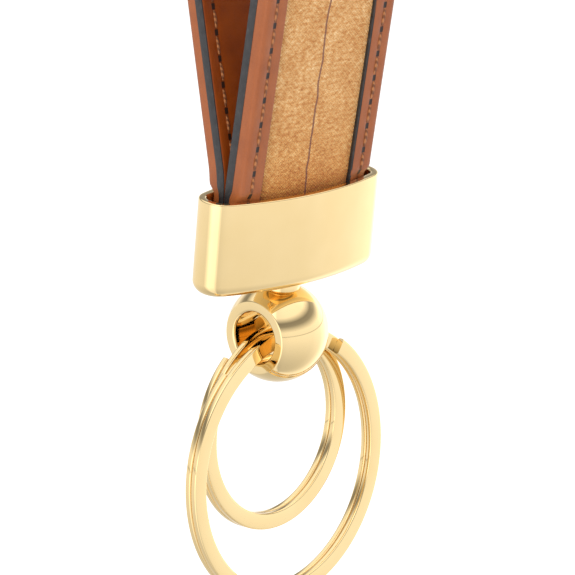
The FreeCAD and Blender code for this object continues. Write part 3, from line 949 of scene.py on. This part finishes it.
def canvas_lines(nodes, links, across, along):
    """Thin dark lines: one lengthwise that wanders a little, and a cross line now and then."""
    drift = noise(nodes, links, along_vector(nodes, links, along), 0.2, 2.0)
    wander = math_node(nodes, links, "MULTIPLY_ADD", drift, 0.9, -0.35)
    gap = math_node(nodes, links, "ABSOLUTE", math_node(nodes, links, "SUBTRACT", across, wander))
    long_line = math_node(nodes, links, "LESS_THAN", gap, 0.13)
    phase = math_node(nodes, links, "PINGPONG", math_node(nodes, links, "ADD", along, 9.0), 26.0)
    cross_line = math_node(nodes, links, "LESS_THAN", phase, 0.12)
    left = math_node(nodes, links, "LESS_THAN", across, wander)
    cross = math_node(nodes, links, "MULTIPLY", cross_line, left)
    return math_node(nodes, links, "MAXIMUM", long_line, cross)


def along_vector(nodes, links, along):
    """The distance along the strap as a vector, for noise that is the same right across."""
    joined = add(nodes, "ShaderNodeCombineXYZ")
    links.new(along, joined.inputs["Y"])
    return joined.outputs[0]


@once
def canvas_cloth():
    """A plain weave of mottled golden-tan yarns with dark lines; near the collar it is painted
    darker and warmer, as painted shade and a painted gold reflection.
    """
    material, nodes, links, shader = new_material("canvas_cloth")
    uv = add(nodes, "ShaderNodeUVMap", uv_map="strap").outputs["UV"]
    split = add(nodes, "ShaderNodeSeparateXYZ")
    links.new(uv, split.inputs[0])
    across, along = split.outputs["X"], split.outputs["Y"]
    pitch = 0.42
    turn = 2 * math.pi / pitch
    warp = math_node(nodes, links, "SINE", math_node(nodes, links, "MULTIPLY", across, turn))
    weft = math_node(nodes, links, "SINE", math_node(nodes, links, "MULTIPLY", along, turn))
    weave = math_node(nodes, links, "MULTIPLY", warp, weft)
    height = math_node(nodes, links, "MULTIPLY_ADD", weave, 0.5, 0.5)
    speck = noise(nodes, links, stretched(nodes, links, uv, (1.0, 1.8, 1.0)), 1.5, 6.0, 0.75)
    cloud = noise(nodes, links, uv, 0.3, 4.0)
    colour = ramp(nodes, links, speck, [
        (0.3, srgb(160, 96, 34)), (0.43, srgb(196, 138, 70)),
        (0.54, srgb(214, 168, 110)), (0.7, srgb(238, 210, 166)),
    ])
    warm = ramp(nodes, links, cloud, [(0.38, (0.9, 0.8, 0.64)), (0.62, (1.04, 1.04, 1.04))])
    colour = mix(nodes, links, 1.0, colour, warm, "MULTIPLY")
    yarn = ramp(nodes, links, height, [(0.1, (0.8, 0.76, 0.7)), (0.8, (1.04, 1.03, 1.02))])
    colour = mix(nodes, links, 0.8, colour, yarn, "MULTIPLY")
    # Painted shade and painted reflection: the lowest stretch of canvas by the collar is darkened
    # and tinted orange, like the gold's reflected light.
    low = math_node(nodes, links, "PINGPONG", along, LINE.length / MM / 2)
    rim_reflection_and_shade = ramp(nodes, links, math_node(nodes, links, "DIVIDE", low, 30.0), [
        (0.26, (0.68, 0.44, 0.14)), (0.31, (0.8, 0.62, 0.36)), (0.42, (0.86, 0.78, 0.62)),
        (0.7, (0.9, 0.9, 0.9)),
    ])
    colour = mix(nodes, links, 1.0, colour, rim_reflection_and_shade, "MULTIPLY")
    lines = canvas_lines(nodes, links, across, along)
    colour = mix(nodes, links, math_node(nodes, links, "MULTIPLY", lines, 0.8), colour,
                 srgb(92, 44, 40))
    links.new(colour, shader.inputs["Base Color"])
    shader.inputs["Roughness"].default_value = 0.82
    shader.inputs["Sheen Weight"].default_value = 0.15
    woven = bump(nodes, links, height, 0.00009, 0.8)
    fuzzy = bump(nodes, links, speck, 0.00006, 0.4, woven)
    links.new(fuzzy, shader.inputs["Normal"])
    return material


def stretched(nodes, links, vector, scale):
    """A vector scaled along its axes."""
    node = add(nodes, "ShaderNodeMapping")
    node.inputs["Scale"].default_value = scale
    links.new(vector, node.inputs["Vector"])
    return node.outputs[0]


@once
def steel():
    """Plain satin steel."""
    material, nodes, links, shader = new_material("plain_steel")
    place = add(nodes, "ShaderNodeTexCoord").outputs["Object"]
    links.new(ramp(nodes, links, noise(nodes, links, place, 700.0), [
        (0.3, (0.45, 0.45, 0.46)), (0.7, (0.6, 0.6, 0.61)),
    ]), shader.inputs["Base Color"])
    shader.inputs["Metallic"].default_value = 1.0
    shader.inputs["Roughness"].default_value = 0.35
    return material


def dress_cad_nodes():
    """The small CAD pieces that stay, with their finished materials."""
    for node, material in (("grub_screws", gold("screw_gold")), ("swivel_rivet", steel()),
                           ("rivet_washer", steel())):
        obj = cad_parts[node]
        for slot in obj.material_slots:
            slot.material = material


# ---------------------------------------------------------------- stage, light, camera

def build_floor():
    """A pale, wide flat floor under the object."""
    height = CAD_BOX[0][2] - 30 * MM
    bpy.ops.mesh.primitive_plane_add(size=8.0, location=(0, 0, height))
    floor = bpy.context.object
    floor.name = "floor"
    material, nodes, links, shader = new_material("pale_floor")
    shader.inputs["Base Color"].default_value = (0.93, 0.93, 0.93, 1)
    shader.inputs["Emission Color"].default_value = (1, 1, 1, 1)
    shader.inputs["Emission Strength"].default_value = 0.35
    shader.inputs["Roughness"].default_value = 0.9
    floor.data.materials.append(material)
    floor.visible_glossy = False


def area_light(name, position, size, power, target):
    """A rectangular white lamp that faces a target."""
    data = bpy.data.lights.new(name, "AREA")
    data.shape = "RECTANGLE"
    data.size, data.size_y = size
    data.energy = power
    light = bpy.data.objects.new(name, data)
    bpy.context.scene.collection.objects.link(light)
    light.location = position
    light.rotation_mode = "QUATERNION"
    light.rotation_quaternion = (Vector(target) - Vector(position)).to_track_quat("-Z", "Y")
    return light


def build_light():
    """A white room with a thin dark horizon and a dimmer upper wall, and two soft lamps."""
    world = bpy.data.worlds.new("studio")
    bpy.context.scene.world = world
    world.use_nodes = True
    nodes, links = world.node_tree.nodes, world.node_tree.links
    split = add(nodes, "ShaderNodeSeparateXYZ")
    links.new(add(nodes, "ShaderNodeTexCoord").outputs["Generated"], split.inputs[0])
    height = math_node(nodes, links, "MULTIPLY_ADD", split.outputs["Z"], 0.5, 0.5)
    rise = ramp(nodes, links, height, greys(
        (0.0, 0.7), (0.2, 0.95), (0.4, 1.16), (0.488, 1.22),
        (0.494, 0.72), (0.5, 0.66), (0.508, 1.18), (0.58, 1.22),
        (0.69, 0.38), (0.75, 0.32), (0.84, 1.3), (1.0, 1.4),
    ))
    turn = math_node(nodes, links, "ARCTAN2", split.outputs["X"],
                     math_node(nodes, links, "MULTIPLY", split.outputs["Y"], -1.0))
    around = math_node(nodes, links, "MULTIPLY_ADD", turn, 0.5 / math.pi, 0.5)
    stripes = ramp(nodes, links, around, greys(
        (0.0, 0.9), (0.2, 0.85), (0.26, 1.5), (0.34, 1.4), (0.38, 0.85), (0.45, 0.93),
        (0.52, 0.95), (0.62, 0.98), (0.69, 1.1), (0.77, 1.6), (0.87, 0.9),
    ))
    room = mix(nodes, links, 1.0, rise, stripes, "MULTIPLY")
    seen = add(nodes, "ShaderNodeLightPath").outputs["Is Camera Ray"]
    glossy = add(nodes, "ShaderNodeLightPath").outputs["Is Glossy Ray"]
    soft = mix(nodes, links, glossy, (0.78, 0.78, 0.78), room)
    links.new(mix(nodes, links, seen, soft, (1.02, 1.02, 1.02)),
              nodes["Background"].inputs["Color"])
    centre = tuple(BALL_CENTRE)
    key = area_light("key", (-0.5, -0.22, 0.1), (0.3, 0.3), 2.4, centre)
    fill = area_light("fill", (0.45, -0.4, 0.05), (0.3, 0.6), 0.8, centre)
    for lamp in (key, fill):
        lamp.visible_glossy = False


CAMERA_AZIMUTH = math.radians(-43.2)
CAMERA_ELEVATION = math.radians(14.7)
CAMERA_ROLL = math.radians(0.7)
CAMERA_DISTANCE = 450 * MM
FIELD_WIDTH = 65.2 * MM
AIM_RIGHT = 1.2 * MM
AIM_UP = 4.9 * MM


def build_camera():
    """The camera, placed by azimuth and elevation round a point beside the ball."""
    a, e = CAMERA_AZIMUTH, CAMERA_ELEVATION
    back = Vector((math.sin(a) * math.cos(e), -math.cos(a) * math.cos(e), math.sin(e)))
    right = Vector((math.cos(a), math.sin(a), 0))
    up = back.cross(right)
    data = bpy.data.cameras.new("camera")
    data.sensor_width = 36.0
    data.lens = 36.0 * CAMERA_DISTANCE / FIELD_WIDTH
    camera = bpy.data.objects.new("camera", data)
    bpy.context.scene.collection.objects.link(camera)
    target = Vector(BALL_CENTRE) + right * AIM_RIGHT + up * AIM_UP
    camera.location = target + back * CAMERA_DISTANCE
    tilted_right = right * math.cos(CAMERA_ROLL) - up * math.sin(CAMERA_ROLL)
    tilted_up = right * math.sin(CAMERA_ROLL) + up * math.cos(CAMERA_ROLL)
    camera.rotation_mode = "QUATERNION"
    axes = Matrix((tilted_right, tilted_up, back)).transposed()
    camera.rotation_quaternion = axes.to_quaternion()
    data.clip_start = 0.01
    bpy.context.scene.camera = camera


build_borders()
build_lining()
build_core()
build_canvas()
build_stitches()
build_collar()
build_ball()
build_ring("large_ring_wire", "large_split_ring", "large_ring",
           LARGE_RADIUS, LARGE_HANG, -1)
build_ring("small_ring_wire", "small_split_ring", "small_ring",
           SMALL_RADIUS, SMALL_HANG, 1)
dress_cad_nodes()
build_floor()
build_light()
build_camera()
bpy.context.scene.view_settings.view_transform = "Standard"
